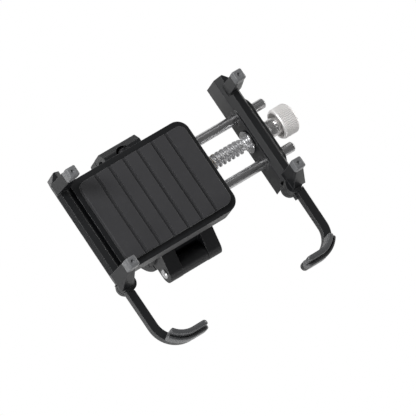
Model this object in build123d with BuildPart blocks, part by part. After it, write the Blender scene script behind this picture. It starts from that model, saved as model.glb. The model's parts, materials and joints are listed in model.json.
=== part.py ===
from build123d import *
import os

# Bicycle phone mount: a hinged handlebar clamp carrying a turntable and a screw-adjusted
# cradle with two jaws, each with two fingers and a pivoting corner claw. Millimetres.
# +Z up out of the phone's screen, +X along the handlebar, +Y towards the phone's top.
# Origin: centre of the handlebar clamp bore.

os.makedirs("parts", exist_ok=True)

# ---- shared dimensions ----
RUN = 0.05              # radial running clearance
BOLT_R = 2.5            # M5
SMALL_SCREW_R = 1.5     # M3

# bar clamp
BAR_R = 11.1            # 22.2 mm handlebar
SHELL_IN = 15.9         # bare clamp bore, 31.8 mm
SHELL_OUT = 19.5
CLAMP_W = 24.0          # clamp width along the bar
HALF_W = CLAMP_W / 2
BORE_CUT = CLAMP_W + 20
SPLIT_TOP = -0.6        # the two clamp halves end at these heights
SPLIT_LOW = -1.4
HINGE_AT = (-23.2, 4.5)             # (y, z)
PIN_R = 2.0
LUG_X = 6.1                         # inner faces of the saddle's hinge lugs
KNUCKLE_X = 6.0                     # half width of the strap's knuckle
NUT_Y, NUT_Z = 23.5, 3.4
NUT_R = 3.15
BOLT_LUG_HALF = 8.5                 # half width of both bolt lugs
BOLT_LUG_Y0, BOLT_LUG_Y1 = 12, 28.6
SEAT_Z = -6.5                       # counterbore floor in the strap, above the washer
BOLT_HEAD_TOP = -7.52
BOLT_HEAD_H = 5.0

# turntable
TABLE_Z = 21.0          # turntable face of the saddle
BUSH_R = 4.0
BUSH_LOW = 19.25
SWIVEL_HEAD_Z0, SWIVEL_HEAD_Z1 = 16.2, 18.7

# cradle block
BLOCK_LOW = 22.0        # underside of the cradle's boss
BLOCK_X0, BLOCK_X1 = -36.0, 16.5
BLOCK_Y = 20.0
BLOCK_Z0, BLOCK_Z1 = 24.0, 36.0
BLOCK_MID_X = (BLOCK_X0 + BLOCK_X1) / 2
PAD_Z = 38.0            # the phone's back rests here
PAD_LOW = BLOCK_Z1 - 1
PAD_SIZE = (48.5, 35, 3)            # x, y, corner radius
FOOT_X, FOOT_T = -27.0, 3.4         # left jaw's foot under the block
FOOT_SCREWS = ((-31.5, 15.5), (-31.5, -15.5))
FOOT_HEAD_TOP = 25.9

# rods and lead screw
AXIS_Z = 30.0           # height of the screw and of the rods
SCREW_AT = (0, AXIS_Z)  # (y, z)
SCREW_AXIS = Axis((0, 0, AXIS_Z), (1, 0, 0))
ROD_R, ROD_Y = 2.0, 10.0
RODS_AT = ((ROD_Y, AXIS_Z), (-ROD_Y, AXIS_Z))
ROD_X0, ROD_X1 = -30.0, 50.0
ROD_LOCKS = ((-24, ROD_Y), (-24, -ROD_Y))
ROD_BUSH_R = 3.1
SCREW_R = 2.95          # 6 mm screw with 2 mm lead
SCREW_CLEAR_R = 3.3
JOURNAL_R = 2.5
CLIP_GROOVE_R = 1.9
LEAD_NUT_R, LEAD_NUT_LEN = 4.8, 8.5
LEAD_NUT_X = BLOCK_X1 - LEAD_NUT_LEN / 2
KNOB_END = 55.8         # outer face of the knob
KNOB_R = 6.15
KNOB_RIM_R = 5.65       # radius at the knob's bevelled ends
KNOB_SKIRT_R = 5.0      # inside of the knob's skirt
HUB_X, HUB_R = 51.8, 3.6            # outer end and radius of the screw's collar
KNOB_GRUB_X = 53.6
KNOB_GRUB_R = 1.0

# jaws and fingers
JAW_IN, JAW_OUT = 36.0, 43.3
JAW_Y0, JAW_Y1 = -22.0, 26.0
JAW_Z0, JAW_Z1 = 24.0, 37.0
BOSS_T = JAW_OUT - JAW_IN
FLANGE_T = 0.8                      # rod bush flanges and thrust washer
CLAW_AT = CLAW_X, CLAW_Y = 38.5, -23.6      # claw pivot
EAR_R = 3.3
EAR_Z = 30.2                        # underside of the fork
TONGUE_Z0, TONGUE_Z1 = 32.4, 35.0
CLAW_HEAD_H = 1.7                   # head of the claw's pivot screw
FINGER_Y = 20.0
FINGER_TOP = 53.0
POST_Z = 48.0                       # top of the finger posts, where the rubber caps start
FINGER_PIN = (1.8, 3.0, 4.2)        # pin on each post, inside the rubber cap
FINGER_PINS_AT = ((39.0, FINGER_Y, 49.1), (39.0, -FINGER_Y, 49.1))

# corner claw
CORNER_X, CORNER_Y = 29.5, -42.3    # centre of the claw's corner bend
CORE_Z0, CORE_H = 36.5, 5.5         # upstand inside the rubber tip
CLAW_START_Y = -36.0                # straight end of the tip outlines, before trimming


# =====================================================================
# Helpers
# =====================================================================
def save(name, part):
    part.label = name
    export_step(part, f"parts/{name}.step")


def save_mirrored(name, part):
    """Save the left-hand copy of a right-hand part."""
    with BuildPart() as left_copy:
        mirror(part, about=Plane.YZ)
    save(name, left_copy.part)


def cylinder_x(radius, length, *at, x=0.0, mode=Mode.ADD):
    """Cylinders along X, centred at x, one at each (y, z)."""
    with Locations(*[Location((x, y, z), (0, 90, 0)) for y, z in at]):
        Cylinder(radius, length, mode=mode)


def cylinder_z(radius, z0, z1, *at, mode=Mode.ADD):
    """Cylinders along Z from z0 to z1, one at each (x, y)."""
    with Locations(*[(x, y, (z0 + z1) / 2) for x, y in at]):
        Cylinder(radius, z1 - z0, mode=mode)


def half_disc(radius, split_z, side):
    """Disc in the current YZ sketch, kept above (side 1) or below (side -1) split_z."""
    Circle(radius)
    with Locations((0, split_z - 15 * side)):
        Rectangle(60, 30, mode=Mode.SUBTRACT)


def about_axis(profile):
    """XZ sketch points from (x, radius about the screw's axis) stations."""
    return [(x, AXIS_Z + radius) for x, radius in profile]


def round_corner(plan, x, y, radius):
    """Fillet the sketch corner nearest (x, y)."""
    fillet(plan.vertices().sort_by_distance((x, y, 0))[0], radius)


def bend_outline(outer_x, outer_y, inner_x, inner_y, end_x):
    """L-shaped outline round the claw's corner, with square corners."""
    return [
        (outer_x, CLAW_START_Y), (outer_x, outer_y), (end_x, outer_y),
        (end_x, inner_y), (inner_x, inner_y), (inner_x, CLAW_START_Y),
    ]


def bend_trim(ray_x, ray_y):
    """Area cut off an L outline, on the +Y side of a ray from the bend's centre."""
    return [
        (CORNER_X, CORNER_Y), (CORNER_X + ray_x, CORNER_Y + ray_y),
        (CORNER_X + 16.6, -30.0), (CORNER_X, -30.0),
    ]


def clamp_liner(split_z, side, groove_angle):
    """Half liner with a flange at each end and grip grooves along the bore."""
    with BuildPart() as liner:
        with BuildSketch(Plane.YZ):
            half_disc(SHELL_IN, split_z, side)
        extrude(amount=HALF_W, both=True)
        for end in (1, -1):
            with BuildSketch(Plane.YZ.offset(end * HALF_W)):
                half_disc(17.4, split_z, side)
            extrude(amount=end * 1.4)
        cylinder_x(BAR_R, BORE_CUT, (0, 0), mode=Mode.SUBTRACT)
        with BuildSketch(Plane.YZ.offset(-20)):
            with PolarLocations(
                BAR_R, 5, start_angle=groove_angle, angular_range=120, rotate=True
            ):
                Rectangle(1.0, 1.0)
        extrude(amount=40, mode=Mode.SUBTRACT)
    return liner.part


# =====================================================================
# Bar clamp
# =====================================================================
# bolt lug outlines, (y, z)
SADDLE_LUG = [
    (BOLT_LUG_Y0, SPLIT_TOP), (BOLT_LUG_Y1, SPLIT_TOP), (BOLT_LUG_Y1, 6.2),
    (26.0, 8.8), (19.0, 8.8), (BOLT_LUG_Y0, 14.5),
]
STRAP_LUG = [
    (BOLT_LUG_Y0, SPLIT_LOW), (BOLT_LUG_Y1, SPLIT_LOW), (BOLT_LUG_Y1, -7.4),
    (26.0, -10.0), (19.0, -10.0), (BOLT_LUG_Y0, -15.0),
]

with BuildPart() as clamp_saddle:
    with BuildSketch(Plane.YZ):
        half_disc(SHELL_OUT, SPLIT_TOP, 1)
    extrude(amount=HALF_W, both=True)
    # turntable boss
    with BuildSketch(Plane.XY.offset(8)):
        Circle(HALF_W)
    extrude(amount=TABLE_Z - 8)
    # hinge lugs, one at each end of the pin
    for end in (1, -1):
        with BuildSketch(Plane.YZ.offset(end * LUG_X)):
            with Locations(HINGE_AT):
                Circle(4.0)
            with Locations((-16.5, 6.0)):
                Rectangle(3, 11)
            make_hull()
        extrude(amount=end * (HALF_W - LUG_X))
    # bolt lug
    with BuildSketch(Plane.YZ):
        with BuildLine():
            Polyline(*SADDLE_LUG, close=True)
        make_face()
    extrude(amount=BOLT_LUG_HALF, both=True)
    # bores
    cylinder_x(SHELL_IN, BORE_CUT, (0, 0), mode=Mode.SUBTRACT)
    cylinder_x(PIN_R, CLAMP_W + 2, HINGE_AT, mode=Mode.SUBTRACT)
    cylinder_x(NUT_R + RUN, 20, (NUT_Y, NUT_Z), mode=Mode.SUBTRACT)
    # slot for the tilting bolt
    with BuildSketch(Plane.XY.offset(-5)):
        with Locations((0, NUT_Y)):
            SlotOverall(7.4, 6.2, rotation=90)
    extrude(amount=20, mode=Mode.SUBTRACT)
    # swivel bearing hole, and recess for the screw head and wave washer below it
    cylinder_z(BUSH_R, -30, 30, (0, 0), mode=Mode.SUBTRACT)
    cylinder_z(4.9, 15.0, 19.2, (0, 0), mode=Mode.SUBTRACT)
    # soft turntable rim
    chamfer(clamp_saddle.faces().sort_by(Axis.Z)[-1].outer_wire().edges(), 0.6)
save("clamp_saddle", clamp_saddle.part)

save("saddle_liner", clamp_liner(SPLIT_TOP, 1, groove_angle=30))

with BuildPart() as hinge_pin:
    cylinder_x(PIN_R, CLAMP_W + 1.2, HINGE_AT)
    chamfer(hinge_pin.edges().filter_by(GeomType.CIRCLE), 0.4)
save("hinge_pin", hinge_pin.part)

with BuildPart() as turntable_bush:
    with BuildSketch(Plane.XY.offset(TABLE_Z)):
        Circle(11.4)
    extrude(amount=0.95)
    with BuildSketch(Plane.XY.offset(BUSH_LOW)):
        Circle(BUSH_R)
    extrude(amount=TABLE_Z - BUSH_LOW)
    cylinder_z(BOLT_R + RUN, -40, 40, (0, 0), mode=Mode.SUBTRACT)
save("turntable_bush", turntable_bush.part)

with BuildPart() as barrel_nut:
    cylinder_x(NUT_R, 14, (NUT_Y, NUT_Z))
    chamfer(barrel_nut.edges().filter_by(GeomType.CIRCLE), 0.4)
    cylinder_z(BOLT_R + 0.08, NUT_Z - 6, NUT_Z + 6, (0, NUT_Y), mode=Mode.SUBTRACT)
save("barrel_nut", barrel_nut.part)

with BuildPart() as clamp_strap:
    with BuildSketch(Plane.YZ):
        half_disc(SHELL_OUT, SPLIT_LOW, -1)
    extrude(amount=HALF_W, both=True)
    # hinge knuckle and its web
    with BuildSketch(Plane.YZ):
        with Locations(HINGE_AT):
            Circle(3.9)
        with Locations((-17.5, -6.0)):
            Rectangle(3, 5)
        make_hull()
    extrude(amount=KNUCKLE_X, both=True)
    # bolt lug
    with BuildSketch(Plane.YZ):
        with BuildLine():
            Polyline(*STRAP_LUG, close=True)
        make_face()
    extrude(amount=BOLT_LUG_HALF, both=True)
    # room for the saddle's shell beside the web
    with BuildSketch(Plane.YZ):
        half_disc(SHELL_OUT + 0.3, SPLIT_LOW, 1)
    extrude(amount=CLAMP_W, both=True, mode=Mode.SUBTRACT)
    # bar bore, pin bore, then bolt hole and its counterbore
    cylinder_x(SHELL_IN, BORE_CUT, (0, 0), mode=Mode.SUBTRACT)
    cylinder_x(PIN_R + RUN, CLAMP_W, HINGE_AT, mode=Mode.SUBTRACT)
    cylinder_z(BOLT_R + RUN, -12, 0, (0, NUT_Y), mode=Mode.SUBTRACT)
    cylinder_z(4.8, SEAT_Z - 4, SEAT_Z, (0, NUT_Y), mode=Mode.SUBTRACT)
save("clamp_strap", clamp_strap.part)

save("strap_liner", clamp_liner(SPLIT_LOW, -1, groove_angle=210))

with BuildPart() as clamp_washer:
    cylinder_z(4.6, SEAT_Z - 1, SEAT_Z, (0, NUT_Y))
    cylinder_z(BOLT_R + RUN, -9, -5, (0, NUT_Y), mode=Mode.SUBTRACT)
save("clamp_washer", clamp_washer.part)

with BuildPart() as clamp_bolt:
    cylinder_z(4.25, BOLT_HEAD_TOP - BOLT_HEAD_H, BOLT_HEAD_TOP, (0, NUT_Y))
    chamfer(clamp_bolt.edges().filter_by(GeomType.CIRCLE).sort_by(Axis.Z)[0], 0.5)
    with BuildSketch(Plane.XY.offset(BOLT_HEAD_TOP)):
        with Locations((0, NUT_Y)):
            Circle(BOLT_R)
    extrude(amount=17.0)
    chamfer(clamp_bolt.edges().filter_by(GeomType.CIRCLE).sort_by(Axis.Z)[-1], 0.5)
    # hex socket
    with BuildSketch(Plane.XY.offset(-13)):
        with Locations((0, NUT_Y)):
            RegularPolygon(2.31, 6)
    extrude(amount=3.2, mode=Mode.SUBTRACT)
save("clamp_bolt", clamp_bolt.part)

# =====================================================================
# Turntable screw
# =====================================================================
with BuildPart() as swivel_screw:
    cylinder_z(4.25, SWIVEL_HEAD_Z0, SWIVEL_HEAD_Z1, (0, 0))
    chamfer(swivel_screw.edges().filter_by(GeomType.CIRCLE).sort_by(Axis.Z)[0], 0.4)
    with BuildSketch(Plane.XY.offset(SWIVEL_HEAD_Z1)):
        Circle(BOLT_R)
    extrude(amount=7.8)
    # hex socket
    with BuildSketch(Plane.XY.offset(16)):
        RegularPolygon(1.73, 6)
    extrude(amount=1.9, mode=Mode.SUBTRACT)
save("swivel_screw", swivel_screw.part)

with BuildPart() as wave_washer:
    cylinder_z(4.4, 18.72, 19.12, (0, 0))
    cylinder_z(BOLT_R + 0.1, 17.92, 19.92, (0, 0), mode=Mode.SUBTRACT)
save("wave_washer", wave_washer.part)

# =====================================================================
# Cradle block
# =====================================================================
RECESS_OVERCUT = 2      # the foot recess is cut this far past the block's -X end and underside

with BuildPart() as base_block:
    with BuildSketch(Plane.XY.offset(BLOCK_Z0)):
        with Locations((BLOCK_MID_X, 0)):
            Rectangle(BLOCK_X1 - BLOCK_X0, 2 * BLOCK_Y)
    extrude(amount=BLOCK_Z1 - BLOCK_Z0)
    fillet(base_block.edges().filter_by(Axis.Z).group_by(Axis.X)[-1], 5.0)
    chamfer(base_block.faces().sort_by(Axis.Z)[0].edges().filter_by(Axis.X), 2.6)
    # turntable boss
    with BuildSketch(Plane.XY.offset(BLOCK_LOW)):
        Circle(13)
    extrude(amount=3)
    # recess for the left jaw's foot
    with Locations((
        (BLOCK_X0 + FOOT_X - RECESS_OVERCUT) / 2, 0,
        BLOCK_Z0 + (FOOT_T - RECESS_OVERCUT) / 2,
    )):
        Box(
            FOOT_X - BLOCK_X0 + RECESS_OVERCUT, 50, FOOT_T + RECESS_OVERCUT,
            mode=Mode.SUBTRACT,
        )
    # pad recess
    with BuildSketch(Plane.XY.offset(PAD_LOW)):
        with Locations((BLOCK_MID_X, 0)):
            RectangleRounded(*PAD_SIZE)
    extrude(amount=2, mode=Mode.SUBTRACT)
    # screw bore and nut seat
    cylinder_x(SCREW_CLEAR_R, 70, SCREW_AT, x=-10, mode=Mode.SUBTRACT)
    cylinder_x(LEAD_NUT_R, LEAD_NUT_LEN, SCREW_AT, x=LEAD_NUT_X, mode=Mode.SUBTRACT)
    # rod bores, open at the right end
    cylinder_x(
        ROD_R, BLOCK_X1 - ROD_X0, *RODS_AT, x=(ROD_X0 + BLOCK_X1) / 2, mode=Mode.SUBTRACT
    )
    # rod lock holes from below
    cylinder_z(SMALL_SCREW_R, 23.5, 28.5, *ROD_LOCKS, mode=Mode.SUBTRACT)
    # jaw screw holes, blind from below
    cylinder_z(SMALL_SCREW_R, 26.7, 33.7, *FOOT_SCREWS, mode=Mode.SUBTRACT)
    # swivel screw hole
    cylinder_z(BOLT_R, BLOCK_LOW, 27.0, (0, 0), mode=Mode.SUBTRACT)
save("base_block", base_block.part)

with BuildPart() as base_pad:
    with BuildSketch(Plane.XY.offset(PAD_LOW)):
        with Locations((BLOCK_MID_X, 0)):
            RectangleRounded(*PAD_SIZE)
    extrude(amount=PAD_Z - PAD_LOW)
    fillet(base_pad.faces().sort_by(Axis.Z)[-1].edges(), 0.5)
    # six grooves across the top
    with BuildSketch(Plane.XY.offset(PAD_Z - 0.8)):
        with Locations((BLOCK_MID_X, 0)):
            with GridLocations(6.5, 0, 6, 1):
                Rectangle(1.4, 40)
    extrude(amount=2, mode=Mode.SUBTRACT)
save("base_pad", base_pad.part)

with BuildPart() as guide_rods:
    cylinder_x(ROD_R, ROD_X1 - ROD_X0, *RODS_AT, x=(ROD_X0 + ROD_X1) / 2)
    chamfer(guide_rods.edges().filter_by(GeomType.CIRCLE), 0.5)
save("guide_rods", guide_rods.part)

with BuildPart() as rod_grub_screws:
    cylinder_z(SMALL_SCREW_R, 24.4, 28.0, *ROD_LOCKS)
    # hex sockets
    with BuildSketch(Plane.XY.offset(BLOCK_Z0)):
        with Locations(*ROD_LOCKS):
            RegularPolygon(0.87, 6)
    extrude(amount=1.8, mode=Mode.SUBTRACT)
save("rod_grub_screws", rod_grub_screws.part)

with BuildPart() as screw_nut:
    cylinder_x(LEAD_NUT_R, LEAD_NUT_LEN, SCREW_AT, x=LEAD_NUT_X)
    chamfer(screw_nut.edges().filter_by(GeomType.CIRCLE), 0.4)
    cylinder_x(SCREW_R + RUN, 12, SCREW_AT, x=LEAD_NUT_X, mode=Mode.SUBTRACT)
save("screw_nut", screw_nut.part)

# =====================================================================
# Jaws
# =====================================================================
# wedge-shaped rail section with a bevelled outer top edge, (x, z)
RAIL_SECTION = [
    (JAW_IN, JAW_Z0), (38.1, JAW_Z0), (42.35, 34.6), (42.35, 35.1),
    (41.1, JAW_Z1), (38.4, JAW_Z1), (JAW_IN, 34.6),
]
# tapered finger post, (x, z)
POST_OUTLINE = [(37.1, 35.4), (42.3, 34.6), (42.7, 37.2), (40.6, POST_Z), (37.3, POST_Z)]
# (starting y, thickness towards -Y) of the upper and lower posts
POSTS = [(22.3, 4.4), (-17.9, 8.1)]
# area cut off the lower post so that it leans back from the claw, (y, z)
POST_LEAN = [
    (-25.6, JAW_Z1), (-22.1, POST_Z + 0.2), (-30, POST_Z + 0.2), (-30, JAW_Z1),
]

# A jaw rail with its two finger cores and the claw fork, drawn for the right side.
with BuildPart() as rail:
    with BuildSketch(Plane.XZ.offset(-JAW_Y1)):
        with BuildLine():
            Polyline(*RAIL_SECTION, close=True)
        make_face()
    extrude(amount=JAW_Y1 - JAW_Y0)
    # corner facet at the upper end
    with BuildSketch(Plane.XY.offset(20)):
        with BuildLine():
            Polyline((44.5, 19.5), (44.5, 27.0), (38.3, 27.0), close=True)
        make_face()
    extrude(amount=20, mode=Mode.SUBTRACT)
    # knuckle for the claw
    with BuildSketch(Plane.XY.offset(EAR_Z)):
        with Locations(CLAW_AT):
            Circle(EAR_R)
        with Locations((38.6, -22.4)):
            Rectangle(5.2, 2.6)
    extrude(amount=JAW_Z1 - EAR_Z)
    for post_y, thickness in POSTS:
        with BuildSketch(Plane.XZ.offset(-post_y)):
            with BuildLine():
                Polyline(*POST_OUTLINE, close=True)
            make_face()
        extrude(amount=thickness)
    with BuildSketch(Plane.YZ.offset(30)):
        with BuildLine():
            Polyline(*POST_LEAN, close=True)
        make_face()
    extrude(amount=20, mode=Mode.SUBTRACT)
    # swing clearance for the claw's arm round the upper ear
    with BuildSketch(Plane.XY.offset(32)):
        with Locations(CLAW_AT):
            Circle(9)
            Circle(EAR_R + 0.04, mode=Mode.SUBTRACT)
        with Locations((CLAW_X, CLAW_Y + 11.7)):
            Rectangle(30, 20, mode=Mode.SUBTRACT)
    extrude(amount=5.3, mode=Mode.SUBTRACT)
    # pins inside the rubber caps
    with Locations(*FINGER_PINS_AT):
        Box(*FINGER_PIN)
    # fork slot for the claw's tongue
    with Locations((CLAW_X, CLAW_Y - 0.3, (TONGUE_Z0 + TONGUE_Z1) / 2)):
        Box(12, 7.5, TONGUE_Z1 - TONGUE_Z0 + 0.1, mode=Mode.SUBTRACT)
    # claw pivot: through the lower ear, blind in the upper ear
    with BuildSketch(Plane.XY.offset(EAR_Z - 1)):
        with Locations(CLAW_AT):
            Circle(SMALL_SCREW_R)
    extrude(amount=36.2 - EAR_Z + 1, mode=Mode.SUBTRACT)
    cylinder_z(2.9, EAR_Z - 10, EAR_Z, CLAW_AT, mode=Mode.SUBTRACT)

# the foot fits the recess under the block
FOOT_X0, FOOT_X1 = -JAW_IN - 0.5, FOOT_X - 0.1

with BuildPart() as left_jaw:
    mirror(rail.part, about=Plane.YZ)
    with Locations(((FOOT_X0 + FOOT_X1) / 2, 0, BLOCK_Z0 + FOOT_T / 2)):
        Box(FOOT_X1 - FOOT_X0, 36, FOOT_T)
    cylinder_z(SMALL_SCREW_R, 22.0, 30.0, *FOOT_SCREWS, mode=Mode.SUBTRACT)
    cylinder_z(2.8, 22.1, FOOT_HEAD_TOP, *FOOT_SCREWS, mode=Mode.SUBTRACT)
    # clearance for the jaw screw's end
    cylinder_x(SCREW_CLEAR_R, 20, SCREW_AT, x=-40, mode=Mode.SUBTRACT)
save("left_jaw", left_jaw.part)

with BuildPart() as left_jaw_screws:
    cylinder_z(2.7, 24.1, FOOT_HEAD_TOP, *FOOT_SCREWS)
    cylinder_z(SMALL_SCREW_R, 25.8, 33.0, *FOOT_SCREWS)
    # hex sockets
    with BuildSketch(Plane.XY.offset(BLOCK_Z0)):
        with Locations(*FOOT_SCREWS):
            RegularPolygon(1.15, 6)
    extrude(amount=1.4, mode=Mode.SUBTRACT)
save("left_jaw_screws", left_jaw_screws.part)

with BuildPart() as right_jaw:
    add(rail.part)
    # boss that carries the rod bushes and the screw's journal
    with BuildSketch(Plane.YZ.offset(JAW_IN)):
        with Locations(SCREW_AT):
            RectangleRounded(30.0, 10.6, 5.0)
    extrude(amount=BOSS_T)
    cylinder_x(JOURNAL_R + RUN, 20, SCREW_AT, x=40, mode=Mode.SUBTRACT)
    cylinder_x(ROD_BUSH_R, 20, *RODS_AT, x=40, mode=Mode.SUBTRACT)
save("right_jaw", right_jaw.part)

# rubber cap over a finger's pin, (x, z)
FINGER_BOOT = [
    (37.0, POST_Z), (40.7, POST_Z), (40.5, FINGER_TOP - 0.7), (39.9, FINGER_TOP),
    (36.8, FINGER_TOP), (36.1, FINGER_TOP - 0.7), (36.1, 49.7), (37.0, 48.7),
]

with BuildPart() as right_finger_boots:
    for finger_y in (FINGER_Y, -FINGER_Y):
        with BuildSketch(Plane.XZ.offset(-finger_y)):
            with BuildLine():
                Polyline(*FINGER_BOOT, close=True)
            make_face()
        extrude(amount=2.15, both=True)
    fillet(right_finger_boots.edges().filter_by(Axis.Z), 0.5)
    # small dimple in each top
    cylinder_z(
        0.7, FINGER_TOP - 0.7, FINGER_TOP + 0.7, (38.3, FINGER_Y), (38.3, -FINGER_Y),
        mode=Mode.SUBTRACT,
    )
    # cavity for the pin
    with Locations(*FINGER_PINS_AT):
        Box(*FINGER_PIN, mode=Mode.SUBTRACT)
save("right_finger_boots", right_finger_boots.part)
save_mirrored("left_finger_boots", right_finger_boots.part)

# =====================================================================
# Slide bearings and adjuster
# =====================================================================
with BuildPart() as rod_bushes:
    # (starting x, radius, thickness) of the sleeves, then of their flanges
    for start_x, radius, thickness in (
        (JAW_IN, ROD_BUSH_R, BOSS_T),
        (JAW_OUT, 3.9, FLANGE_T),
    ):
        with BuildSketch(Plane.YZ.offset(start_x)):
            with Locations(*RODS_AT):
                Circle(radius)
                Circle(ROD_R + RUN, mode=Mode.SUBTRACT)
        extrude(amount=thickness)
save("rod_bushes", rod_bushes.part)

with BuildPart() as thrust_washer:
    with BuildSketch(Plane.YZ.offset(JAW_OUT)):
        with Locations(SCREW_AT):
            Circle(4.9)
            Circle(JOURNAL_R + RUN, mode=Mode.SUBTRACT)
    extrude(amount=FLANGE_T)
save("thrust_washer", thrust_washer.part)

# turned profiles, (x, radius)
LEAD_SCREW_PROFILE = [
    (-4.0, 0), (-4.0, 2.2), (-3.2, SCREW_R), (33.4, SCREW_R),
    # journal, with the retaining clip's groove
    (34.0, JOURNAL_R), (34.9, JOURNAL_R), (34.9, CLIP_GROOVE_R),
    (35.75, CLIP_GROOVE_R), (35.75, JOURNAL_R), (44.15, JOURNAL_R),
    # collar, then the end inside the knob
    (44.15, HUB_R), (HUB_X, HUB_R), (HUB_X, JOURNAL_R),
    (KNOB_END - 0.8, JOURNAL_R), (KNOB_END - 0.4, 2.1), (KNOB_END - 0.4, 0),
]
KNOB_PROFILE = [
    (49.0, KNOB_SKIRT_R), (49.0, KNOB_RIM_R), (49.5, KNOB_R), (KNOB_END - 0.5, KNOB_R),
    (KNOB_END, KNOB_RIM_R), (KNOB_END, 3.4), (KNOB_END - 0.6, JOURNAL_R),
    (HUB_X, JOURNAL_R), (HUB_X, KNOB_SKIRT_R),
]

with BuildPart() as lead_screw:
    with BuildSketch(Plane.XZ):
        with BuildLine():
            Polyline(*about_axis(LEAD_SCREW_PROFILE), close=True)
        make_face()
    revolve(axis=SCREW_AXIS, revolution_arc=360)
    # hex socket in the outer end
    with BuildSketch(Plane.YZ.offset(KNOB_END - 2.6)):
        with Locations(SCREW_AT):
            RegularPolygon(1.44, 6)
    extrude(amount=4, mode=Mode.SUBTRACT)
save("lead_screw", lead_screw.part)

with BuildPart() as adjuster_knob:
    with BuildSketch(Plane.XZ):
        with BuildLine():
            Polyline(*about_axis(KNOB_PROFILE), close=True)
        make_face()
    revolve(axis=SCREW_AXIS, revolution_arc=360)
    # grub screw hole, radial from below
    cylinder_z(KNOB_GRUB_R, AXIS_Z - 7, AXIS_Z - 2, (KNOB_GRUB_X, 0), mode=Mode.SUBTRACT)
save("adjuster_knob", adjuster_knob.part)

with BuildPart() as knob_grub_screw:
    cylinder_z(KNOB_GRUB_R, AXIS_Z - 5.85, AXIS_Z - 2.55, (KNOB_GRUB_X, 0))
save("knob_grub_screw", knob_grub_screw.part)

with BuildPart() as retaining_clip:
    with BuildSketch(Plane.YZ.offset(34.95)):
        with Locations(SCREW_AT):
            Circle(4.6)
            Circle(CLIP_GROOVE_R, mode=Mode.SUBTRACT)
        # open side
        with Locations((0, AXIS_Z - 3.4)):
            Rectangle(3.2, 4.0, mode=Mode.SUBTRACT)
    extrude(amount=0.75)
save("retaining_clip", retaining_clip.part)

# =====================================================================
# Corner claws
# =====================================================================
with BuildPart() as right_claw_screw:
    cylinder_z(2.5, EAR_Z - CLAW_HEAD_H, EAR_Z, CLAW_AT)
    with BuildSketch(Plane.XY.offset(EAR_Z)):
        with Locations(CLAW_AT):
            Circle(SMALL_SCREW_R)
    extrude(amount=5.8)
    # hex socket
    with BuildSketch(Plane.XY.offset(EAR_Z - CLAW_HEAD_H)):
        with Locations(CLAW_AT):
            RegularPolygon(1.15, 6)
    extrude(amount=1.2, mode=Mode.SUBTRACT)
save("right_claw_screw", right_claw_screw.part)
save_mirrored("left_claw_screw", right_claw_screw.part)

# Upstand on the claw's arm; the rubber tip's hollow has the same shape.
with BuildPart() as claw_core:
    with BuildSketch(Plane.XY.offset(CORE_Z0)) as core_plan:
        with BuildLine():
            Polyline(*bend_outline(40.0, -52.9, 38.6, -51.5, end_x=25.0), close=True)
        make_face()
        round_corner(core_plan, 40.0, -52.9, 10.5)
        round_corner(core_plan, 38.6, -51.5, 9.1)
        with BuildLine():
            Polyline(*bend_trim(15.76, -12.31), close=True)
        make_face(mode=Mode.SUBTRACT)
    extrude(amount=CORE_H)

# arm in plan before its corners are rounded, (x, y)
ARM_OUTLINE = [
    (41.2, -26.0), (41.0, -53.7), (23.2, -53.7), (23.2, -50.4), (37.8, -50.4), (37.9, -26.0),
]

with BuildPart() as right_claw:
    # arm, swept round the phone's corner
    with BuildSketch(Plane.XY.offset(TONGUE_Z0)) as arm_plan:
        with BuildLine():
            Polyline(*ARM_OUTLINE, close=True)
        make_face()
        round_corner(arm_plan, 41.0, -53.7, 11.5)
        round_corner(arm_plan, 37.8, -50.4, 8.2)
        fillet(arm_plan.vertices().sort_by(Axis.X)[0:2], 1.6)
    extrude(amount=JAW_Z1 - TONGUE_Z0)
    # soft lower edges
    arm_underside = right_claw.faces().sort_by(Axis.Z)[0]
    fillet(arm_underside.edges().filter_by(lambda edge: (edge @ 0.5).Y < -27), 1.5)
    # clearance round the fork's ears
    cylinder_z(EAR_R + 0.3, TONGUE_Z1, TONGUE_Z1 + 4.1, CLAW_AT, mode=Mode.SUBTRACT)
    # tongue
    with BuildSketch(Plane.XY.offset(TONGUE_Z0)):
        with Locations(CLAW_AT):
            Circle(EAR_R - 0.1)
        with Locations((38.9, CLAW_Y - 2.6)):
            Rectangle(3.2, 5.2)
    extrude(amount=TONGUE_Z1 - TONGUE_Z0)
    add(claw_core.part)
    cylinder_z(SMALL_SCREW_R + RUN, 29, 37, CLAW_AT, mode=Mode.SUBTRACT)
save("right_claw", right_claw.part)
save_mirrored("left_claw", right_claw.part)

BOOT_INNER = (37.7, -50.6)          # inner corner shared by both tiers
# body of the cap, then the taller inner ridge:
# outer x, outer y, end x, outer corner radius, end corner radius, height
BOOT_TIERS = [
    (41.3, -54.3, 23.1, 11.9, 1.7, 4.6),
    (40.4, -53.3, 24.0, 10.9, 0, 7.0),
]

with BuildPart() as right_claw_boot:
    for outer_x, outer_y, end_x, outer_radius, end_radius, height in BOOT_TIERS:
        with BuildSketch(Plane.XY.offset(JAW_Z1)) as tier_plan:
            with BuildLine():
                Polyline(*bend_outline(outer_x, outer_y, *BOOT_INNER, end_x), close=True)
            make_face()
            round_corner(tier_plan, outer_x, outer_y, outer_radius)
            round_corner(tier_plan, *BOOT_INNER, 8.2)
            if end_radius:
                fillet(tier_plan.vertices().sort_by(Axis.X)[0:2], end_radius)
            with BuildLine():
                Polyline(*bend_trim(16.6, -11.2), close=True)
            make_face(mode=Mode.SUBTRACT)
        extrude(amount=height)
    add(claw_core.part, mode=Mode.SUBTRACT)
save("right_claw_boot", right_claw_boot.part)
save_mirrored("left_claw_boot", right_claw_boot.part)
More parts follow.
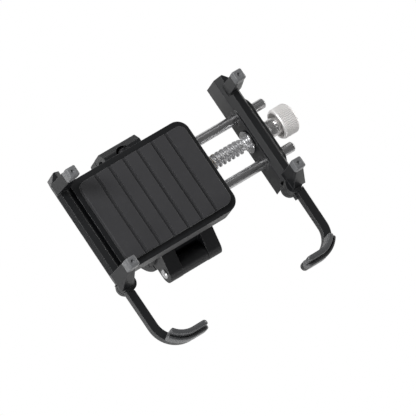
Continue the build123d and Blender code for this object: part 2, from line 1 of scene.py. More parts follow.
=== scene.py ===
# A screw-adjusted holder: two jaws with upright fingers, two claws, and a saddle-and-strap clamp.
# The jaw screw lies along X with its knob at +X, the clamp bolt stands along Z, and the claws
# reach towards -Y. "Right" is +X and "left" is -X. Pieces are drawn in millimetres and built in
# metres; materials, lights and the camera are in metres.
import bpy, bmesh, json
from functools import cached_property
from math import cos, hypot, pi, radians, sin, sqrt, tau
from mathutils import Matrix, Vector


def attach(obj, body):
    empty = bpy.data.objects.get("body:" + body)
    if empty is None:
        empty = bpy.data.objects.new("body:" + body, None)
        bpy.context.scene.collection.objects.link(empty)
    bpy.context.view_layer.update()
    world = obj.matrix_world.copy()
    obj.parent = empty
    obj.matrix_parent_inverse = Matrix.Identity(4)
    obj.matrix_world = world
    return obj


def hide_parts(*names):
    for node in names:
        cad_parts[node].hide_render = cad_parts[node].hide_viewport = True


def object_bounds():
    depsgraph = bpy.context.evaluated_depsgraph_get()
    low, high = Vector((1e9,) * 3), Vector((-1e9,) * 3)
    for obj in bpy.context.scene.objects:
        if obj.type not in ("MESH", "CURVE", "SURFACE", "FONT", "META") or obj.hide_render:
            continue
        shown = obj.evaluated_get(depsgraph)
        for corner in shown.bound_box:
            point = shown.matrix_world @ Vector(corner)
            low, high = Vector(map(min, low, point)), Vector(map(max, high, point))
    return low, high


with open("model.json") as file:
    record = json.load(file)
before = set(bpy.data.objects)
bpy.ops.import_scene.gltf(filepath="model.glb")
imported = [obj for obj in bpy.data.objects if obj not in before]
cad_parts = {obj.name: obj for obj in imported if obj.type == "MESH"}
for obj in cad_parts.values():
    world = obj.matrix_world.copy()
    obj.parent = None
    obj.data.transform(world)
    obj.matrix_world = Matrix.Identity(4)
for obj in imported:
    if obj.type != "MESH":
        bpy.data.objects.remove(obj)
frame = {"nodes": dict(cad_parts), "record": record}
cad_low, cad_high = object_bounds()
scene = bpy.context.scene

MM = 0.001
SCREW_AXIS = (0.0, 0.0, 30.0)
BOLT_AXIS = (0.0, 23.5, 0.0)


# ------------------------------------------------------------------ materials
def add_node(tree, kind, inputs=None, **settings):
    """Add a shader node; each input is a value, a colour or another node's output."""
    node = tree.nodes.new("ShaderNode" + kind)
    for setting, value in settings.items():
        setattr(node, setting, value)
    for socket, value in (inputs or {}).items():
        feed(tree, value, node.inputs[socket])
    return node


def feed(tree, value, socket):
    if isinstance(value, bpy.types.NodeSocket):
        tree.links.new(value, socket)
    elif socket.type == "RGBA":
        socket.default_value = (*value, 1.0)
    else:
        socket.default_value = value


class Surface:
    """A Principled material whose textures follow object coordinates."""

    INPUTS = {
        "color": "Base Color", "metal": "Metallic", "rough": "Roughness",
        "spec": "Specular IOR Level", "sheen": "Sheen Weight", "sheen_rough": "Sheen Roughness",
    }

    def __init__(self, name):
        self.material = bpy.data.materials.new(name)
        self.material.use_nodes = True
        self.tree = self.material.node_tree
        self.tree.nodes.clear()
        self.output = self.add("OutputMaterial")
        self.shader = self.add("BsdfPrincipled")
        self.tree.links.new(self.shader.outputs[0], self.output.inputs[0])

    @cached_property
    def position(self):
        return self.add("TexCoord").outputs["Object"]

    def add(self, kind, inputs=None, **settings):
        return add_node(self.tree, kind, inputs, **settings)

    def set(self, **values):
        for name, value in values.items():
            feed(self.tree, value, self.shader.inputs[self.INPUTS[name]])

    def noise(self, scale, detail=3.0, roughness=0.5, vector=None):
        return self.add("TexNoise", {
            "Scale": scale, "Detail": detail, "Roughness": roughness,
            "Vector": vector or self.position,
        }).outputs["Fac"]

    def cells(self, scale):
        inputs = {"Scale": scale, "Vector": self.position}
        return self.add("TexVoronoi", inputs).outputs["Distance"]

    def stretch(self, x, y, z):
        return self.add("Mapping", {"Scale": (x, y, z), "Vector": self.position}).outputs[0]

    def ramp(self, signal, black_at, white_at):
        node = self.add("ValToRGB", {0: signal})
        for stop, place, grey in zip(node.color_ramp.elements, (black_at, white_at), (0, 1)):
            stop.position = place
            stop.color = (grey, grey, grey, 1)
        return node.outputs[0]

    def math(self, operation, a, b, clamp=False):
        return self.add("Math", {0: a, 1: b}, operation=operation, use_clamp=clamp).outputs[0]

    def scaled(self, signal, by):
        return self.math("MULTIPLY", signal, by)

    def vary(self, signal, swing, base):
        """base + swing * signal"""
        return self.math("ADD", self.scaled(signal, by=swing), base)

    def mix(self, factor, low, high):
        return self.add("Mix", {0: factor, 6: low, 7: high}, data_type="RGBA").outputs[2]

    def soft_edge(self, radius):
        return self.add("Bevel", {"Radius": radius}, samples=6).outputs[0]

    def edge_mask(self, radius):
        """White along edges: how far the rounded normal leans from the true one."""
        rounded = self.soft_edge(radius)
        true = self.add("NewGeometry").outputs["Normal"]
        dot = self.add("VectorMath", {0: rounded, 1: true}, operation="DOT_PRODUCT")
        lean = self.math("SUBTRACT", 1.0, dot.outputs["Value"], clamp=True)
        return self.ramp(lean, black_at=0.02, white_at=0.25)

    def bump(self, height, strength, distance, edge_radius):
        """Surface relief over softened edges."""
        node = self.add("Bump", {
            "Strength": strength, "Distance": distance, "Height": height,
            "Normal": self.soft_edge(edge_radius),
        })
        self.tree.links.new(node.outputs[0], self.shader.inputs["Normal"])


def black_alloy():
    m = Surface("black_anodised_alloy")
    cloud = m.noise(scale=38, detail=4, roughness=0.6)
    grain = m.noise(scale=5200, detail=2, roughness=0.7)
    blast = m.cells(scale=3600)
    edge = m.edge_mask(radius=0.00034)
    patches = m.ramp(m.noise(scale=900, detail=4, roughness=0.7), black_at=0.50, white_at=0.66)
    # edges lightened further in patches: rubbed wear and painted edge highlight
    worn_and_highlit_edges = m.scaled(m.math("MULTIPLY", edge, patches), by=0.22)
    base = m.mix(cloud, low=(0.0046, 0.0051, 0.0060), high=(0.0082, 0.0088, 0.0100))
    # painted highlight: every edge lightened towards grey, in place of edge reflections
    base = m.mix(edge, low=base, high=(0.060, 0.061, 0.064))
    base = m.mix(worn_and_highlit_edges, low=base, high=(0.22, 0.22, 0.225))
    rough = m.math("ADD", m.vary(grain, swing=0.10, base=0.300), m.scaled(cloud, by=0.06))
    m.set(color=base, metal=0.0, rough=rough, spec=0.46)
    relief = m.math("ADD", grain, m.scaled(blast, by=0.6))
    m.bump(relief, strength=0.05, distance=0.00002, edge_radius=0.00030)
    return m.material


def rubber(name, low, high, rough, grain_scale, strength, spec=0.42):
    """Mottled rubber between two colours, with a faint dust; rough is the middle roughness."""
    m = Surface(name)
    cloud = m.noise(scale=55, detail=4, roughness=0.6)
    grain = m.noise(scale=grain_scale, detail=3, roughness=0.65)
    dust = m.ramp(m.noise(scale=340, detail=5, roughness=0.75), black_at=0.52, white_at=0.78)
    dust_color = tuple(c * 1.7 + 0.012 for c in high)
    base = m.mix(m.scaled(dust, by=0.16), low=m.mix(cloud, low, high), high=dust_color)
    swing = 0.18
    m.set(color=base, rough=m.vary(grain, swing, base=rough - swing / 2), spec=spec,
          sheen=0.15, sheen_rough=0.45)
    m.bump(grain, strength, distance=0.00006, edge_radius=0.00035)
    return m.material


def silver_knurl():
    m = Surface("bright_knurled_alloy")
    brush = m.noise(scale=1400, roughness=0.6, vector=m.stretch(x=0.10, y=1, z=1))
    cloud = m.noise(scale=120, detail=4, roughness=0.6)
    base = m.mix(cloud, low=(0.86, 0.845, 0.835), high=(0.93, 0.915, 0.905))
    m.set(color=base, metal=0.58, rough=m.vary(brush, swing=0.10, base=0.36), spec=0.5)
    m.bump(brush, strength=0.06, distance=0.00002, edge_radius=0.00012)
    return m.material


def ground_steel():
    m = Surface("ground_steel")
    lines = m.noise(scale=2600, roughness=0.6, vector=m.stretch(x=0.06, y=1, z=1))
    cloud = m.noise(scale=140, detail=4, roughness=0.6)
    base = m.mix(cloud, low=(0.558, 0.558, 0.5704), high=(0.6696, 0.6696, 0.6758))
    m.set(color=base, metal=1.0, rough=m.vary(lines, swing=0.18, base=0.19))
    m.bump(lines, strength=0.10, distance=0.00003, edge_radius=0.00012)
    return m.material


def screw_steel():
    """Turned thread, with a polished collar at the knob's end."""
    m = Surface("jaw_screw_steel")
    x = m.add("SeparateXYZ", {0: m.position}).outputs["X"]
    # tenfold metres: the polish begins between x = 43.6 and 44.2 mm
    collar = m.ramp(m.scaled(x, by=10.0), black_at=0.436, white_at=0.442)
    cloud = m.noise(scale=160, detail=4, roughness=0.6)
    base = m.mix(cloud, low=(0.50, 0.50, 0.51), high=(0.62, 0.62, 0.63))
    base = m.mix(collar, low=base, high=(0.80, 0.79, 0.785))
    lines = m.noise(scale=2200, roughness=0.6, vector=m.stretch(x=1, y=0.06, z=0.06))
    polish = m.math("SUBTRACT", 0.40, m.scaled(collar, by=0.22))
    m.set(color=base, metal=0.9, rough=m.vary(lines, swing=0.08, base=polish))
    m.bump(lines, strength=0.05, distance=0.00002, edge_radius=0.00014)
    return m.material


def black_steel():
    m = Surface("black_oxide_steel")
    cloud = m.noise(scale=260, detail=4, roughness=0.7)
    grain = m.noise(scale=5000, detail=2, roughness=0.6)
    edge = m.edge_mask(radius=0.00015)
    base = m.mix(cloud, low=(0.016, 0.016, 0.018), high=(0.034, 0.034, 0.037))
    # painted highlight: edges lightened towards grey at half strength
    base = m.mix(m.scaled(edge, by=0.5), low=base, high=(0.18, 0.18, 0.185))
    m.set(color=base, metal=0.7, rough=m.vary(grain, swing=0.14, base=0.30))
    m.bump(grain, strength=0.12, distance=0.00003, edge_radius=0.00012)
    return m.material


def turned_brass():
    m = Surface("turned_brass")
    lines = m.noise(scale=2400, roughness=0.6, vector=m.stretch(x=1, y=0.1, z=0.1))
    cloud = m.noise(scale=180, detail=4, roughness=0.6)
    base = m.mix(cloud, low=(0.60, 0.43, 0.17), high=(0.74, 0.56, 0.26))
    m.set(color=base, metal=1.0, rough=m.vary(lines, swing=0.18, base=0.20))
    m.bump(lines, strength=0.12, distance=0.00003, edge_radius=0.00012)
    return m.material


def acetal_polymer():
    m = Surface("acetal_polymer")
    grain = m.noise(scale=3000, roughness=0.6)
    cloud = m.noise(scale=70)
    base = m.mix(cloud, low=(0.030, 0.030, 0.032), high=(0.048, 0.048, 0.050))
    m.set(color=base, rough=m.vary(grain, swing=0.12, base=0.40), spec=0.45)
    m.bump(grain, strength=0.18, distance=0.00004, edge_radius=0.00015)
    return m.material


BY_SLOT = {
    "black_alloy": black_alloy(),
    "boot_rubber": rubber(
        "boot_rubber_grey", low=(0.088, 0.090, 0.095), high=(0.124, 0.127, 0.132),
        rough=0.46, grain_scale=1700, strength=0.12, spec=0.62),
    "pad_rubber": rubber(
        "pad_silicone", low=(0.013, 0.013, 0.015), high=(0.024, 0.024, 0.027),
        rough=0.62, grain_scale=1500, strength=0.30),
    "liner_rubber": rubber(
        "liner_rubber", low=(0.014, 0.014, 0.015), high=(0.026, 0.026, 0.027),
        rough=0.72, grain_scale=1500, strength=0.5),
    "silver_alloy": silver_knurl(),
    "steel": ground_steel(),
    "black_steel": black_steel(),
    "brass": turned_brass(),
    "polymer": acetal_polymer(),
}
SCREW_STEEL = screw_steel()
# the boot rubber again in a darker tone for the claw caps: painted shade on the same rubber as
# the finger boots
SHADED_CLAW_RUBBER = rubber(
    "boot_rubber_shaded", low=(0.044, 0.045, 0.048), high=(0.066, 0.068, 0.071),
    rough=0.38, grain_scale=1700, strength=0.12, spec=0.62)


# ------------------------------------------------------------------ CAD pieces kept as they are
EDGE_RADIUS = {  # mm
    "clamp_saddle": 0.50, "clamp_strap": 0.50, "base_block": 0.70, "left_jaw": 0.45,
    "right_jaw": 0.45, "left_claw": 0.60, "right_claw": 0.60, "saddle_liner": 0.20,
    "strap_liner": 0.20, "base_pad": 0.22, "turntable_bush": 0.15, "clamp_washer": 0.12,
    "thrust_washer": 0.12, "rod_bushes": 0.15, "left_jaw_screws": 0.15, "barrel_nut": 0.12,
    "retaining_clip": 0.10, "hinge_pin": 0.10, "guide_rods": 0.10,
}


def round_edges(piece, radius, least_angle):
    weld = piece.modifiers.new("weld", "WELD")
    weld.merge_threshold = 2e-6
    bevel = piece.modifiers.new("round", "BEVEL")
    bevel.width = radius * MM
    bevel.segments = 2
    bevel.limit_method = "ANGLE"
    bevel.angle_limit = radians(least_angle)
    bevel.use_clamp_overlap = True
    bevel.harden_normals = False
    normals = piece.modifiers.new("normals", "WEIGHTED_NORMAL")
    normals.keep_sharp = True
    normals.weight = 80


slot_of = {part["node"]: part["material_slot"] for part in frame["record"]["subparts"]}
for name, piece in frame["nodes"].items():
    piece.data.materials.clear()
    piece.data.materials.append(BY_SLOT[slot_of[name]])
    if name in EDGE_RADIUS:
        round_edges(piece, EDGE_RADIUS[name], least_angle=45 if name == "left_jaw" else 38)


# ------------------------------------------------------------------ mesh helpers
def add_piece(name, mesh, body, slot, replaces=(), material=None, smooth=35.0):
    """Build a piece from (points in mm, faces); edges sharper than smooth degrees stay hard."""
    points, faces = mesh
    data = bpy.data.meshes.new(name)
    data.from_pydata([tuple(c * MM for c in point) for point in points], [], faces)
    data.validate()
    bm = bmesh.new()
    bm.from_mesh(data)
    bmesh.ops.remove_doubles(bm, verts=bm.verts, dist=1e-7)
    bmesh.ops.recalc_face_normals(bm, faces=bm.faces)
    bm.to_mesh(data)
    bm.free()
    piece = bpy.data.objects.new(name, data)
    scene.collection.objects.link(piece)
    shade(data, smooth)
    data.materials.append(material or BY_SLOT[slot])
    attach(piece, body)
    if replaces:
        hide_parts(*replaces)


def shade(data, angle):
    bm = bmesh.new()
    bm.from_mesh(data)
    for face in bm.faces:
        face.smooth = True
    limit = radians(angle)
    for edge in bm.edges:
        edge.smooth = len(edge.link_faces) == 2 and edge.calc_face_angle(0.0) < limit
    bm.to_mesh(data)
    bm.free()


def skin(rings, capped=True):
    """Points and faces over equal-length closed rings, with a fan over each end if capped."""
    n = len(rings[0])
    points = [point for ring in rings for point in ring]
    faces = []
    for a in range(0, (len(rings) - 1) * n, n):
        b = a + n
        for k in range(n):
            j = (k + 1) % n
            faces.append((a + k, a + j, b + j, b + k))
    if capped:
        for base in (0, (len(rings) - 1) * n):
            centre = len(points)
            points.append(tuple(sum(points[base + k][d] for k in range(n)) / n for d in range(3)))
            for k in range(n):
                j = (k + 1) % n
                if base == 0:
                    faces.append((centre, base + j, base + k))
                else:
                    faces.append((centre, base + k, base + j))
    return points, faces


def closed_skin(rings):
    """A skin whose last ring meets its first."""
    return skin(rings + rings[:1], capped=False)


def turned_rings(stations, count, radius_at, along, axis):
    """Rings about an X or Z axis; a station is its place on the axis, then its form."""
    rings = []
    for station in stations:
        ring = []
        for k in range(count):
            angle = tau * k / count
            radius = radius_at(angle, *station)
            u, v = radius * cos(angle), radius * sin(angle)
            if along == "x":
                ring.append((station[0], axis[1] + u, axis[2] + v))
            else:
                ring.append((axis[0] + u, axis[1] + v, station[0]))
        rings.append(ring)
    return rings


def spaced(start, stop, step):
    """Places from start, a step apart, short of stop."""
    places = []
    place = start
    while place < stop:
        places.append(place)
        place += step
    return places


def hex_radius(angle, apothem):
    return apothem / cos(angle % (pi / 3) - pi / 6)


def zigzag(angle, count):
    """Goes 1, 0, 1 count times round the circle."""
    return abs(2 * ((angle / tau * count) % 1.0) - 1)


# ------------------------------------------------------------------ knob, straight-knurled
KNOB_TEETH = 48
POINTS_PER_TOOTH = 6
KNOB_PROFILE = [
    # x, radius, knurl depth
    (51.80, 2.52, 0), (51.80, 4.95, 0), (49.25, 5.00, 0), (49.03, 5.10, 0), (49.00, 5.30, 0),
    (49.00, 5.52, 0), (49.10, 5.70, 0), (49.40, 5.93, 0.05), (49.62, 6.08, 0.20),
    (49.80, 6.15, 0.30), (51.5, 6.15, 0.30), (53.0, 6.15, 0.30), (54.0, 6.15, 0.30),
    (55.00, 6.15, 0.30), (55.18, 6.08, 0.20), (55.40, 5.93, 0.05), (55.66, 5.72, 0),
    (55.80, 5.48, 0), (55.80, 4.60, 0), (55.73, 4.45, 0), (55.73, 4.10, 0), (55.80, 3.95, 0),
    (55.80, 3.45, 0), (55.65, 3.20, 0), (55.15, 2.52, 0),
]


def knob_radius(angle, _x, radius, depth):
    # the factor widens the floor of each groove
    return radius - depth * min(1.0, zigzag(angle, KNOB_TEETH) * 1.35)


knob_rings = turned_rings(
    KNOB_PROFILE, KNOB_TEETH * POINTS_PER_TOOTH, knob_radius, along="x", axis=SCREW_AXIS)
add_piece("knurled_knob", closed_skin(knob_rings), "jaw_screw", "silver_alloy",
          ["adjuster_knob"], smooth=40)

# ------------------------------------------------------------------ jaw screw
SCREW_START = -4.0
SCREW_THREAD_END = 33.1
SCREW_PITCH = 2.0
SCREW_CREST, SCREW_ROOT = 2.95, 2.02
SCREW_TIP = 2.1  # radius the thread is held to at its free end
SCREW_NECK = 2.25  # radius the thread runs out to
SCREW_SOCKET = 1.25  # apothem
SCREW_STATIONS = [(x, "thread") for x in spaced(SCREW_START, 33.05, step=0.1)] + [
    # x, radius
    (33.3, SCREW_NECK), (33.6, 2.5), (34.9, 2.5), (34.9, 1.92), (35.75, 1.92), (35.75, 2.5),
    (43.9, 2.5), (44.15, 2.55), (44.15, 3.35), (44.4, 3.6), (47.0, 3.6), (47.2, 3.45),
    (47.5, 3.45), (47.7, 3.6), (51.55, 3.6), (51.79, 3.4), (51.79, 2.5), (55.0, 2.5),
    (55.3, 2.2), (55.4, 2.05), (55.4, "hex"), (53.3, "hex"),
]


def trapezoid_thread(turns):
    """Thread radius at a number of pitches: crest, flank, root, flank."""
    phase = turns % 1.0
    depth = SCREW_CREST - SCREW_ROOT
    if phase < 0.30:
        return SCREW_CREST
    if phase < 0.46:
        return SCREW_CREST - depth * (phase - 0.30) / 0.16
    if phase < 0.84:
        return SCREW_ROOT
    return SCREW_ROOT + depth * (phase - 0.84) / 0.16


def screw_radius(angle, x, form):
    if form == "hex":
        return hex_radius(angle, SCREW_SOCKET)
    if form != "thread":
        return form
    lead_in = min(1.0, max(0.0, (x - SCREW_START) / 1.2))
    run_out = min(1.0, max(0.0, (SCREW_THREAD_END - x) / 1.4))
    limit = SCREW_TIP + (SCREW_CREST - SCREW_TIP) * lead_in
    radius = min(trapezoid_thread(x / SCREW_PITCH - angle / tau), limit)
    return radius * run_out + SCREW_NECK * (1 - run_out)


screw_rings = turned_rings(SCREW_STATIONS, 60, screw_radius, along="x", axis=SCREW_AXIS)
add_piece("threaded_jaw_screw", skin(screw_rings), "jaw_screw", "steel", ["lead_screw"],
          material=SCREW_STEEL, smooth=28)

# ------------------------------------------------------------------ clamp bolt, knurled head
BOLT_THREAD_START = -7.2
BOLT_PITCH = 0.8
BOLT_ROOT, BOLT_THREAD_DEPTH = 2.06, 0.42
BOLT_CREST = BOLT_ROOT + BOLT_THREAD_DEPTH
BOLT_SOCKET = 2.0  # apothem
BOLT_STATIONS = [
    # z, radius or form
    (-9.2, "hex"), (-12.52, "hex"), (-12.52, 2.9), (-12.50, 3.6), (-12.38, 3.85), (-12.0, 4.12),
    (-11.7, "knurl"), (-8.3, "knurl"), (-8.0, 4.12), (-7.6, 4.05), (-7.52, 3.95), (-7.52, 2.55),
    (-7.4, BOLT_CREST),
    *((z, "thread") for z in spaced(BOLT_THREAD_START, 9.2, step=0.08)),
    (9.25, 2.05), (9.40, 1.9), (9.48, 1.7),
]


def bolt_radius(angle, z, form):
    if form == "hex":
        return hex_radius(angle, BOLT_SOCKET)
    if form == "knurl":
        return 4.24 - 0.14 * zigzag(angle, 36)
    if form != "thread":
        return form
    # the factor flattens the crests, which are cut off at BOLT_CREST
    ridge = 1 - abs(2 * ((z / BOLT_PITCH - angle / tau) % 1.0) - 1)
    radius = min(BOLT_ROOT + BOLT_THREAD_DEPTH * ridge * 1.15, BOLT_CREST)
    if z > BOLT_THREAD_START + BOLT_PITCH:
        return radius
    # the first turn rises out of the shank
    return min(radius, BOLT_ROOT + (z - BOLT_THREAD_START) * 0.5 + 0.02)


bolt_rings = turned_rings(BOLT_STATIONS, 72, bolt_radius, along="z", axis=BOLT_AXIS)
add_piece("threaded_clamp_bolt", skin(bolt_rings), "clamp_bolt", "black_steel", ["clamp_bolt"],
          smooth=28)

# ------------------------------------------------------------------ waved spring washer
WASHER_INNER, WASHER_OUTER = 2.65, 4.35
WASHER_HALF = 0.13  # half the thickness
WASHER_Z = 18.93
WAVES, WAVE_HEIGHT = 3, 0.07


def washer_ring(radius, rise, count=96):
    angles = [tau * k / count for k in range(count)]
    return [(radius * cos(a), radius * sin(a), WASHER_Z + rise + WAVE_HEIGHT * cos(WAVES * a))
            for a in angles]


washer_rings = [
    washer_ring(WASHER_INNER, -WASHER_HALF), washer_ring(WASHER_OUTER, -WASHER_HALF),
    washer_ring(WASHER_OUTER, WASHER_HALF), washer_ring(WASHER_INNER, WASHER_HALF),
]
add_piece("waved_spring_washer", closed_skin(washer_rings), "cradle", "steel", ["wave_washer"])

# ------------------------------------------------------------------ finger boots
# Rubber caps, drawn for the right jaw. Columns: z, inner x, outer x, half width in y.
FINGER_Y = 20.0
BOOT_CORNER = 0.62
BOOT_INNER_X = 36.10
BOOT_HALF = 2.15
CAVITY = [  # from its roof down, with a corner radius as the last column
    (51.25, 38.2, 39.8, 1.4, 0.2), (51.20, 38.1, 39.9, 1.5, 0.2),
    (48.20, 38.1, 39.9, 1.5, 0.2), (48.02, 38.0, 40.0, 1.6, 0.3),
]
BOOT_FOOT = [
    (48.02, 37.12, 40.58, 2.02), (48.08, 37.04, 40.66, 2.10), (48.25, 37.00, 40.70, BOOT_HALF),
    (48.60, 36.98, 40.69, BOOT_HALF), (48.72, 36.95, 40.69, BOOT_HALF),
    (48.98, 36.76, 40.67, BOOT_HALF), (49.26, 36.48, 40.65, BOOT_HALF),
    (49.52, 36.24, 40.64, BOOT_HALF), (49.75, 36.13, 40.63, BOOT_HALF),
    (50.0, BOOT_INNER_X, 40.62, BOOT_HALF),
]
GROOVE = [(0.0, 0.0), (0.12, 0.10), (0.30, 0.10), (0.42, 0.0)]  # rise, depth
BOOT_GROOVES = [
    (z + rise, BOOT_INNER_X + depth, 40.61 - 0.02 * (z + rise - 50), BOOT_HALF)
    for z in spaced(50.25, 51.5, step=0.62) for rise, depth in GROOVE
]
BOOT_TOP = [
    (51.9, BOOT_INNER_X, 40.54, BOOT_HALF), (52.10, 36.12, 40.48, 2.14),
    (52.42, 36.18, 40.38, 2.10), (52.66, 36.30, 40.25, 2.02), (52.84, 36.47, 40.07, 1.90),
    (52.95, 36.68, 39.87, 1.74), (53.0, 36.92, 39.64, 1.54),
]
DIMPLE_X = 38.28
DIMPLE = [  # radius, z
    (1.22, 53.0), (0.92, 53.0), (0.84, 52.96), (0.78, 52.86), (0.70, 52.55), (0.55, 52.42),
    (0.25, 52.36),
]


def rounded_loop(z, x_low, x_high, half_y, radius, middle_y, segments=6):
    """A level rounded rectangle, anticlockwise from its +X side."""
    right, left = x_high - radius, x_low + radius
    far, near = middle_y + half_y - radius, middle_y - half_y + radius
    loop = []
    for x, y, first in ((right, far, 0), (left, far, 90), (left, near, 180), (right, near, 270)):
        for k in range(segments + 1):
            angle = radians(first + 90 * k / segments)
            loop.append((x + radius * cos(angle), y + radius * sin(angle), z))
    return loop


def finger_boot(side, end):
    """side: +1 right jaw, -1 left jaw. end: +1 the finger at +Y, -1 the one at -Y."""
    y = FINGER_Y * end
    loops = [rounded_loop(*row, y) for row in CAVITY]
    loops += [rounded_loop(*row, BOOT_CORNER, y) for row in BOOT_FOOT + BOOT_GROOVES + BOOT_TOP]
    n = len(loops[0])
    # start each circle at the middle of the rectangle's first corner
    angles = [pi / 4 + tau * (k - 3) / n for k in range(n)]
    loops += [[(DIMPLE_X + r * cos(a), y + r * sin(a), z) for a in angles] for r, z in DIMPLE]
    if side < 0:
        loops = [[(-x, y, z) for x, y, z in reversed(loop)] for loop in loops]
    return skin(loops)


for name, side, end, body, replaces in (
    ("boot_right_upper", 1, 1, "right_jaw", ["right_finger_boots"]),
    ("boot_right_lower", 1, -1, "right_jaw", []),
    ("boot_left_upper", -1, 1, "cradle", ["left_finger_boots"]),
    ("boot_left_lower", -1, -1, "cradle", []),
):
    add_piece(name, finger_boot(side, end), body, "boot_rubber", replaces, smooth=42)

# ------------------------------------------------------------------ claw boots
# A section swept in plan round the right claw's corner, then along -X.
CORNER_X, CORNER_Y = 29.4, -42.35
CORNER_RADIUS = 10.1
CORNER_START = -radians(34)
PATH_STEP = 0.35
STRAIGHT_STEPS = 17
PATH_END_X = 23.12
CAP_FOOT = 37.02
CAP_MIDDLE = -0.02  # outward offset that the narrowing ends close in on
CAP_CORNERS = [
    # outward offset, z, corner radius
    (-1.82, CAP_FOOT, 0.35), (1.78, CAP_FOOT, 0.55), (1.78, 41.5, 0.75), (0.95, 41.5, 0.30),
    (0.72, 40.9, 0.2), (0.40, 40.9, 0.2), (0.25, 41.4, 0.2), (0.25, 43.9, 0.85),
    (-1.82, 43.9, 0.75),
]


def claw_path():
    """Points (x, y) of the right claw's tip, each with its outward normal."""
    sweep = -pi / 2 - CORNER_START
    steps = int(CORNER_RADIUS * -sweep / PATH_STEP)
    path = []
    for k in range(steps + 1):
        angle = CORNER_START + sweep * k / steps
        nx, ny = cos(angle), sin(angle)
        path.append(((CORNER_X + CORNER_RADIUS * nx, CORNER_Y + CORNER_RADIUS * ny), (nx, ny)))
    straight = [CORNER_X - PATH_STEP * k for k in range(1, STRAIGHT_STEPS + 1)] + [PATH_END_X]
    return path + [((x, CORNER_Y - CORNER_RADIUS), (0.0, -1.0)) for x in straight]


def rounded_section(corners, segments=4):
    """Round each corner of a closed outline with a quadratic curve."""
    section = []
    spots = [Vector(corner[:2]) for corner in corners]
    for i, spot in enumerate(spots):
        back = spots[i - 1] - spot
        ahead = spots[(i + 1) % len(spots)] - spot
        reach = min(corners[i][2], back.length * 0.49, ahead.length * 0.49)
        a, b = spot + back.normalized() * reach, spot + ahead.normalized() * reach
        for k in range(segments + 1):
            t = k / segments
            section.append(tuple(a * (1 - t) ** 2 + spot * 2 * t * (1 - t) + b * t ** 2))
    return section


def quarter_round(distance, length):
    """Rises 0 to 1 over a length like a quarter circle."""
    t = min(1.0, distance / length)
    return sqrt(1 - (1 - t) ** 2)


def claw_boot(side):
    path = claw_path()
    section = rounded_section(CAP_CORNERS)
    travelled = [0.0]
    for (a, _), (b, _) in zip(path, path[1:]):
        travelled.append(travelled[-1] + hypot(b[0] - a[0], b[1] - a[1]))
    loops = []
    for ((x, y), (nx, ny)), s in zip(path, travelled):
        # both ends ease down, the last one further
        first = quarter_round(s, 0.7)
        last = quarter_round(travelled[-1] - s, 1.7)
        width = min(0.80 + 0.20 * first, 0.34 + 0.66 * last)
        height = min(0.90 + 0.10 * first, 0.72 + 0.28 * last)
        loop = []
        for offset, z in section:
            out = CAP_MIDDLE + (offset - CAP_MIDDLE) * width
            level = CAP_FOOT + (z - CAP_FOOT) * height
            loop.append((side * (x + nx * out), y + ny * out, level))
        loops.append(loop if side > 0 else loop[::-1])
    return skin(loops)


# the claw caps take the darker copy of the boot rubber, which is painted shade
for hand, side in (("right", 1), ("left", -1)):
    add_piece(f"cap_{hand}_claw", claw_boot(side), f"{hand}_claw", "boot_rubber",
              [f"{hand}_claw_boot"], material=SHADED_CLAW_RUBBER, smooth=45)


# ------------------------------------------------------------------ stage
def floor_material():
    """Plain white to the camera, pale grey to the light, clear from below."""
    m = Surface("pale_floor")
    m.set(color=(0.74, 0.74, 0.74), rough=0.9, spec=0.1)
    seen = m.add("LightPath").outputs["Is Camera Ray"]
    glow = m.add("Emission", {"Color": (1, 1, 1), "Strength": 1.0}).outputs[0]
    top = m.add("MixShader", {0: seen, 1: m.shader.outputs[0], 2: glow}).outputs[0]
    below = m.add("NewGeometry").outputs["Backfacing"]
    clear = m.add("BsdfTransparent").outputs[0]
    both = m.add("MixShader", {0: below, 1: top, 2: clear}).outputs[0]
    m.tree.links.new(both, m.output.inputs[0])
    return m.material


def add_floor(half_size=6.0, gap=0.0005):
    s, z = half_size, cad_low.z - gap
    data = bpy.data.meshes.new("floor")
    data.from_pydata([(-s, -s, z), (s, -s, z), (s, s, z), (-s, s, z)], [], [(0, 1, 2, 3)])
    floor = bpy.data.objects.new("floor", data)
    scene.collection.objects.link(floor)
    data.materials.append(floor_material())
    floor.visible_shadow = False


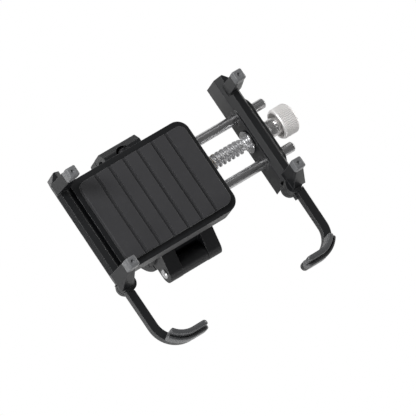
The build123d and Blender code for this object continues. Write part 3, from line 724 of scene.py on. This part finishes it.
def add_world():
    """White to the camera, a tenth as bright as a light."""
    world = bpy.data.worlds.new("studio")
    scene.world = world
    world.use_nodes = True
    tree = world.node_tree
    background = tree.nodes["Background"]
    seen = add_node(tree, "LightPath").outputs["Is Camera Ray"]
    strength = add_node(tree, "Math", {0: seen, 1: 0.90, 2: 0.10}, operation="MULTIPLY_ADD")
    feed(tree, (1.0, 1.0, 1.0), background.inputs[0])
    feed(tree, strength.outputs[0], background.inputs[1])


LIGHT_TARGET = Vector((0.0, -0.005, 0.03))
WHITE = (1, 1, 1)
LIGHTS = [
    # name, location, width, height, watts, colour
    ("key_softbox", (-0.40, 0.26, 0.44), 0.18, 0.26, 2.9, WHITE),
    ("top_softbox", (-0.02, 0.36, 0.44), 0.26, 0.12, 0.9, WHITE),
    ("side_strip", (-0.50, -0.20, 0.16), 0.08, 0.40, 1.1, WHITE),
    ("right_fill", (0.50, -0.02, 0.24), 0.16, 0.16, 1.4, (1.0, 0.985, 0.965)),
    ("under_fill", (0.20, -0.20, -0.40), 0.34, 0.34, 0.8, WHITE),
    ("front_strip", (-0.05, -0.52, 0.18), 0.36, 0.08, 0.9, WHITE),
]


def add_light(name, location, width, height, watts, color):
    data = bpy.data.lights.new(name, "AREA")
    data.shape = "RECTANGLE"
    data.size = width
    data.size_y = height
    data.energy = watts
    data.color = color
    light = bpy.data.objects.new(name, data)
    light.location = location
    aim = LIGHT_TARGET - Vector(location)
    light.rotation_euler = aim.to_track_quat("-Z", "Y").to_euler()
    scene.collection.objects.link(light)


CAMERA_PLACE = (-0.6010968728, -0.2424250368, 1.5416742895)
CAMERA_AXES = (
    (0.8023470739, -0.5513403391, 0.2286110309),  # right
    (0.4792671168, 0.8234212453, 0.3037770292),  # up
    (-0.3557277101, -0.1341688609, 0.9249089215),  # back
)


def add_camera():
    data = bpy.data.cameras.new("camera")
    camera = bpy.data.objects.new("camera", data)
    turn = Matrix(CAMERA_AXES).transposed().to_4x4()
    camera.matrix_world = Matrix.Translation(CAMERA_PLACE) @ turn
    data.sensor_width = 36.0
    data.lens = 380.76923
    data.shift_x = 0.10576923
    data.shift_y = 0.13221154
    data.clip_start = 0.01
    data.clip_end = 50
    scene.collection.objects.link(camera)
    scene.camera = camera


add_floor()
add_world()
for light in LIGHTS:
    add_light(*light)
add_camera()
scene.view_settings.view_transform = "Standard"
scene.view_settings.look = "None"
